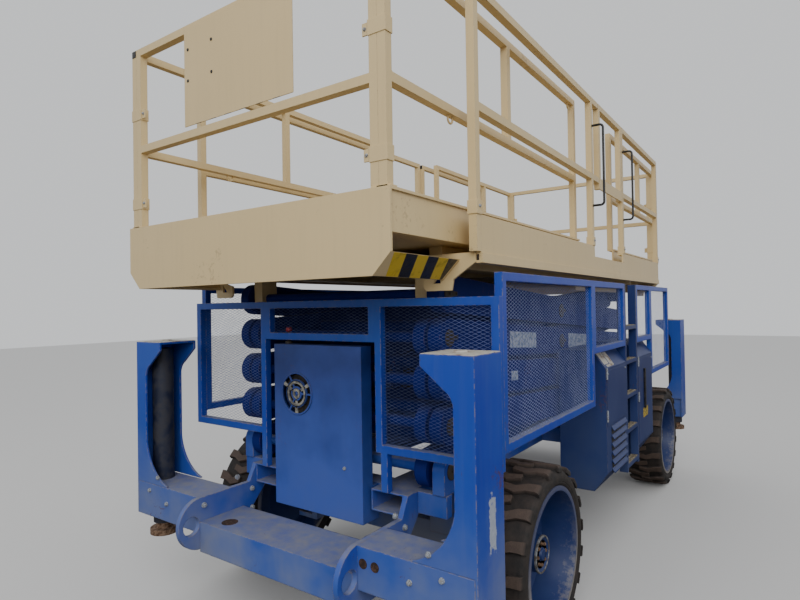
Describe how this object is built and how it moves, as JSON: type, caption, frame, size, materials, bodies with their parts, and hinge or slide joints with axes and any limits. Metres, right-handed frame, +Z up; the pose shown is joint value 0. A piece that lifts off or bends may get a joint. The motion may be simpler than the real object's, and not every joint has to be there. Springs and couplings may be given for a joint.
{
  "type": "scissor lift",
  "caption": "Rough-terrain scissor lift, folded: stacked arms under a railed platform with two roll-out decks, four wheels and corner outriggers.",
  "frame": {"origin": "on the ground, under the middle of the folded machine", "axes": "+Z up, the front faces -Y, +X to the right seen from the front"},
  "size_m": [2.3, 5.11, 3.24],
  "materials": {
    "chassis_paint": "faded blue enamel on steel",
    "arm_paint": "dark blue enamel on steel",
    "platform_paint": "cream enamel on steel",
    "mesh": "painted expanded metal",
    "wheel_paint": "blue enamel, worn at the flange",
    "tyre": "dusty black rubber",
    "dark_steel": "greasy dark steel",
    "rod_steel": "plated rod",
    "leg_steel": "rusty steel",
    "handle_black": "black enamel"
  },
  "bodies": {
    "chassis": {"chassis_rails": "chassis_paint", "chassis_members": "chassis_paint", "front_crossbeam": "chassis_paint", "rear_crossbeam": "chassis_paint", "front_lugs": "chassis_paint", "rear_lugs": "chassis_paint", "towers": "chassis_paint", "jack_barrels": "dark_steel", "base_stand": "chassis_paint", "front_axle": "chassis_paint", "rear_axle": "chassis_paint", "front_cabinet": "chassis_paint", "side_cabinets": "chassis_paint", "engine_block": "dark_steel", "front_guard": "chassis_paint", "side_guards": "chassis_paint", "mesh_sheets": "mesh", "ladder": "chassis_paint"},
    "inner_1": {"inner_arms_1": "arm_paint"},
    "outer_1": {"outer_arms_1": "arm_paint"},
    "inner_2": {"inner_arms_2": "arm_paint"},
    "outer_2": {"outer_arms_2": "arm_paint"},
    "inner_3": {"inner_arms_3": "arm_paint"},
    "outer_3": {"outer_arms_3": "arm_paint"},
    "inner_4": {"inner_arms_4": "arm_paint"},
    "outer_4": {"outer_arms_4": "arm_paint"},
    "platform": {"platform_deck": "platform_paint", "platform_brackets": "platform_paint", "rails_right": "platform_paint", "rails_left": "platform_paint", "grab_handles": "handle_black"},
    "gate": {"gate": "platform_paint"},
    "extension": {"extension_deck": "platform_paint", "extension_side_rails": "platform_paint", "extension_front_rails": "platform_paint"},
    "rear_extension": {"rear_extension_deck": "platform_paint", "rear_extension_side_rails": "platform_paint", "rails_rear": "platform_paint"},
    "lift_barrel": {"lift_barrel": "dark_steel"},
    "lift_rod": {"lift_rod": "rod_steel"},
    "jack_fr": {"jack_leg_fr": "leg_steel"},
    "jack_fl": {"jack_leg_fl": "leg_steel"},
    "jack_rr": {"jack_leg_rr": "leg_steel"},
    "jack_rl": {"jack_leg_rl": "leg_steel"},
    "knuckle_r": {"knuckle_r": "dark_steel"},
    "knuckle_l": {"knuckle_l": "dark_steel"},
    "tie_rod": {"tie_rod": "dark_steel"},
    "wheel_fl": {"rim_fl": "wheel_paint", "tyre_fl": "tyre"},
    "wheel_fr": {"rim_fr": "wheel_paint", "tyre_fr": "tyre"},
    "wheel_rl": {"rim_rl": "wheel_paint", "tyre_rl": "tyre"},
    "wheel_rr": {"rim_rr": "wheel_paint", "tyre_rr": "tyre"}
  },
  "joints": [
    {"name": "scissor_lift", "type": "hinge", "parent": "chassis", "child": "inner_1", "pos_m": [0, -1.835, 0.97], "axis": [1, 0, 0], "range_deg": [0, 46]},
    {"name": "arm_cross_1", "type": "hinge", "parent": "inner_1", "child": "outer_1", "pos_m": [0, -0.18865, 1.08], "axis": [1, 0, 0], "range_deg": [-92.4, 0.4]},
    {"name": "arm_pin_2", "type": "hinge", "parent": "outer_1", "child": "inner_2", "pos_m": [0, -1.835, 1.19], "axis": [1, 0, 0], "range_deg": [-0.4, 92.4]},
    {"name": "arm_cross_2", "type": "hinge", "parent": "inner_2", "child": "outer_2", "pos_m": [0, -0.18865, 1.3], "axis": [1, 0, 0], "range_deg": [-92.4, 0.4]},
    {"name": "arm_pin_3", "type": "hinge", "parent": "outer_2", "child": "inner_3", "pos_m": [0, -1.835, 1.41], "axis": [1, 0, 0], "range_deg": [-0.4, 92.4]},
    {"name": "arm_cross_3", "type": "hinge", "parent": "inner_3", "child": "outer_3", "pos_m": [0, -0.18865, 1.52], "axis": [1, 0, 0], "range_deg": [-92.4, 0.4]},
    {"name": "arm_pin_4", "type": "hinge", "parent": "outer_3", "child": "inner_4", "pos_m": [0, -1.835, 1.63], "axis": [1, 0, 0], "range_deg": [-0.4, 92.4]},
    {"name": "arm_cross_4", "type": "hinge", "parent": "inner_4", "child": "outer_4", "pos_m": [0, -0.18865, 1.74], "axis": [1, 0, 0], "range_deg": [-92.4, 0.4]},
    {"name": "platform_pin", "type": "hinge", "parent": "outer_4", "child": "platform", "pos_m": [0, -1.835, 1.85], "axis": [1, 0, 0], "range_deg": [-0.4, 46.4]},
    {"name": "lift_barrel_pin", "type": "hinge", "parent": "inner_1", "child": "lift_barrel", "pos_m": [0, 0.95881, 1.15667], "axis": [1, 0, 0], "range_deg": [-108.77, 0.4]},
    {"name": "lift_rod_slide", "type": "slide", "parent": "lift_barrel", "child": "lift_rod", "axis": [0, -0.9973, 0.0728], "range_m": [-0.002, 1.2071]},
    {"name": "gate_hinge", "type": "hinge", "parent": "platform", "child": "gate", "pos_m": [0.96, 0.556, 2.6], "axis": [0, 0, 1], "range_deg": [-90, 0]},
    {"name": "extension_slide", "type": "slide", "parent": "platform", "child": "extension", "axis": [0, -1, 0], "range_m": [0, 1]},
    {"name": "rear_extension_slide", "type": "slide", "parent": "platform", "child": "rear_extension", "axis": [0, 1, 0], "range_m": [0, 0.6]},
    {"name": "jack_slide_fr", "type": "slide", "parent": "chassis", "child": "jack_fr", "axis": [0, 0, -1], "range_m": [0, 0.43]},
    {"name": "jack_slide_fl", "type": "slide", "parent": "chassis", "child": "jack_fl", "axis": [0, 0, -1], "range_m": [0, 0.43]},
    {"name": "jack_slide_rr", "type": "slide", "parent": "chassis", "child": "jack_rr", "axis": [0, 0, -1], "range_m": [0, 0.43]},
    {"name": "jack_slide_rl", "type": "slide", "parent": "chassis", "child": "jack_rl", "axis": [0, 0, -1], "range_m": [0, 0.43]},
    {"name": "steer_right", "type": "hinge", "parent": "chassis", "child": "knuckle_r", "pos_m": [0.69, -1.4, 0.47], "axis": [0, 0, 1], "range_deg": [-25, 25]},
    {"name": "steer_left", "type": "hinge", "parent": "chassis", "child": "knuckle_l", "pos_m": [-0.69, -1.4, 0.47], "axis": [0, 0, 1], "range_deg": [-25.3, 25.3]},
    {"name": "tie_rod_pin", "type": "hinge", "parent": "knuckle_r", "child": "tie_rod", "pos_m": [0.69, -1.21, 0.41], "axis": [0, 0, 1], "range_deg": [-25.3, 25.3]},
    {"name": "wheel_spin_fl", "type": "hinge", "parent": "knuckle_l", "child": "wheel_fl", "pos_m": [-0.94, -1.4, 0.47], "axis": [1, 0, 0], "continuous": true},
    {"name": "wheel_spin_fr", "type": "hinge", "parent": "knuckle_r", "child": "wheel_fr", "pos_m": [0.94, -1.4, 0.47], "axis": [1, 0, 0], "continuous": true},
    {"name": "wheel_spin_rl", "type": "hinge", "parent": "chassis", "child": "wheel_rl", "pos_m": [-0.94, 1.815, 0.47], "axis": [1, 0, 0], "continuous": true},
    {"name": "wheel_spin_rr", "type": "hinge", "parent": "chassis", "child": "wheel_rr", "pos_m": [0.94, 1.815, 0.47], "axis": [1, 0, 0], "continuous": true}
  ],
  "couplings": [
    {"joint": "arm_cross_1", "follows": "scissor_lift", "ratio": -2},
    {"joint": "arm_pin_2", "follows": "scissor_lift", "ratio": 2},
    {"joint": "arm_cross_2", "follows": "scissor_lift", "ratio": -2},
    {"joint": "arm_pin_3", "follows": "scissor_lift", "ratio": 2},
    {"joint": "arm_cross_3", "follows": "scissor_lift", "ratio": -2},
    {"joint": "arm_pin_4", "follows": "scissor_lift", "ratio": 2},
    {"joint": "arm_cross_4", "follows": "scissor_lift", "ratio": -2},
    {"joint": "platform_pin", "follows": "scissor_lift", "ratio": 1},
    {"joint": "lift_barrel_pin", "follows": "scissor_lift", "ratio": -2.3558},
    {"joint": "lift_rod_slide", "follows": "scissor_lift", "m_per_rad": 1.4998},
    {"joint": "steer_left", "follows": "steer_right", "ratio": 1},
    {"joint": "tie_rod_pin", "follows": "steer_right", "ratio": -1}
  ]
}
